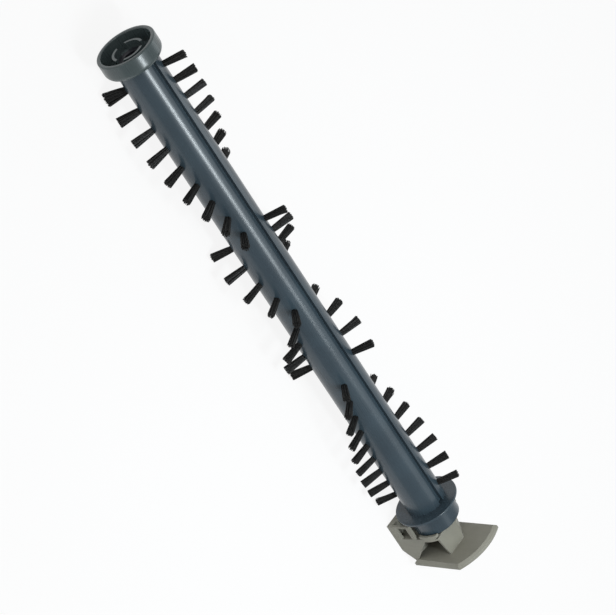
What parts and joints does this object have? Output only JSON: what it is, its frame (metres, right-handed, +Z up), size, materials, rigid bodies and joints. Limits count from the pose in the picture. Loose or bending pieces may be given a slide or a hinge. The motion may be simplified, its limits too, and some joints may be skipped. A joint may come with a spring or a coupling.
{
  "type": "vacuum agitator brush",
  "caption": "Round vacuum agitator brush with helical and chevron bristle rows, a straight hair-cutting groove, a dogged drive cup at one end and a bearing end cap with plate at the other.",
  "frame": {"origin": "on the roller's axis, at the mouth of the pilot bore in the drive cup", "axes": "+X along the roller from the drive cup to the end cap, +Z up as the brush lies on its tufts and on the end cap's foot"},
  "size_m": [0.3445, 0.045, 0.0414],
  "materials": {
    "roller_plastic": "semi-gloss blue-grey moulding",
    "cup_plastic": "semi-gloss grey-green moulding",
    "cap_plastic": "matte warm grey moulding",
    "bristle": "black nylon bristle",
    "bush_plastic": "black acetal",
    "washer_plastic": "natural nylon",
    "felt": "pressed felt",
    "steel": "bright steel",
    "spring_steel": "blackened spring steel",
    "bearing_steel": "ground steel",
    "ball_steel": "polished steel"
  },
  "bodies": {
    "end_cap": {"end_cap": "cap_plastic", "bearing_outer_race": "bearing_steel", "bearing_shields": "steel"},
    "roller": {"roller_core": "roller_plastic", "drive_cup": "cup_plastic", "pilot_bush": "bush_plastic", "hub_end": "roller_plastic", "axle_pin": "steel", "felt_ring": "felt", "spacer_sleeve": "steel", "thrust_washer": "washer_plastic", "retaining_clip": "spring_steel", "bearing_inner_race": "bearing_steel", "tufts_drive_a": "bristle", "tufts_drive_b": "bristle", "tufts_middle_a": "bristle", "tufts_middle_b": "bristle", "tufts_idler_a": "bristle", "tufts_idler_b": "bristle", "anchors_drive_a": "steel", "anchors_drive_b": "steel", "anchors_middle_a": "steel", "anchors_middle_b": "steel", "anchors_idler_a": "steel", "anchors_idler_b": "steel"},
    "ball_cage": {"bearing_balls": "ball_steel", "bearing_cage": "washer_plastic"}
  },
  "joints": [
    {"name": "roller_spin", "type": "hinge", "parent": "end_cap", "child": "roller", "pos_m": [0.3235, 0, 0], "axis": [1, 0, 0], "continuous": true},
    {"name": "cage_spin", "type": "hinge", "parent": "end_cap", "child": "ball_cage", "pos_m": [0.3235, 0, 0], "axis": [1, 0, 0], "continuous": true}
  ],
  "couplings": [
    {"joint": "cage_spin", "follows": "roller_spin", "ratio": 0.39474}
  ]
}
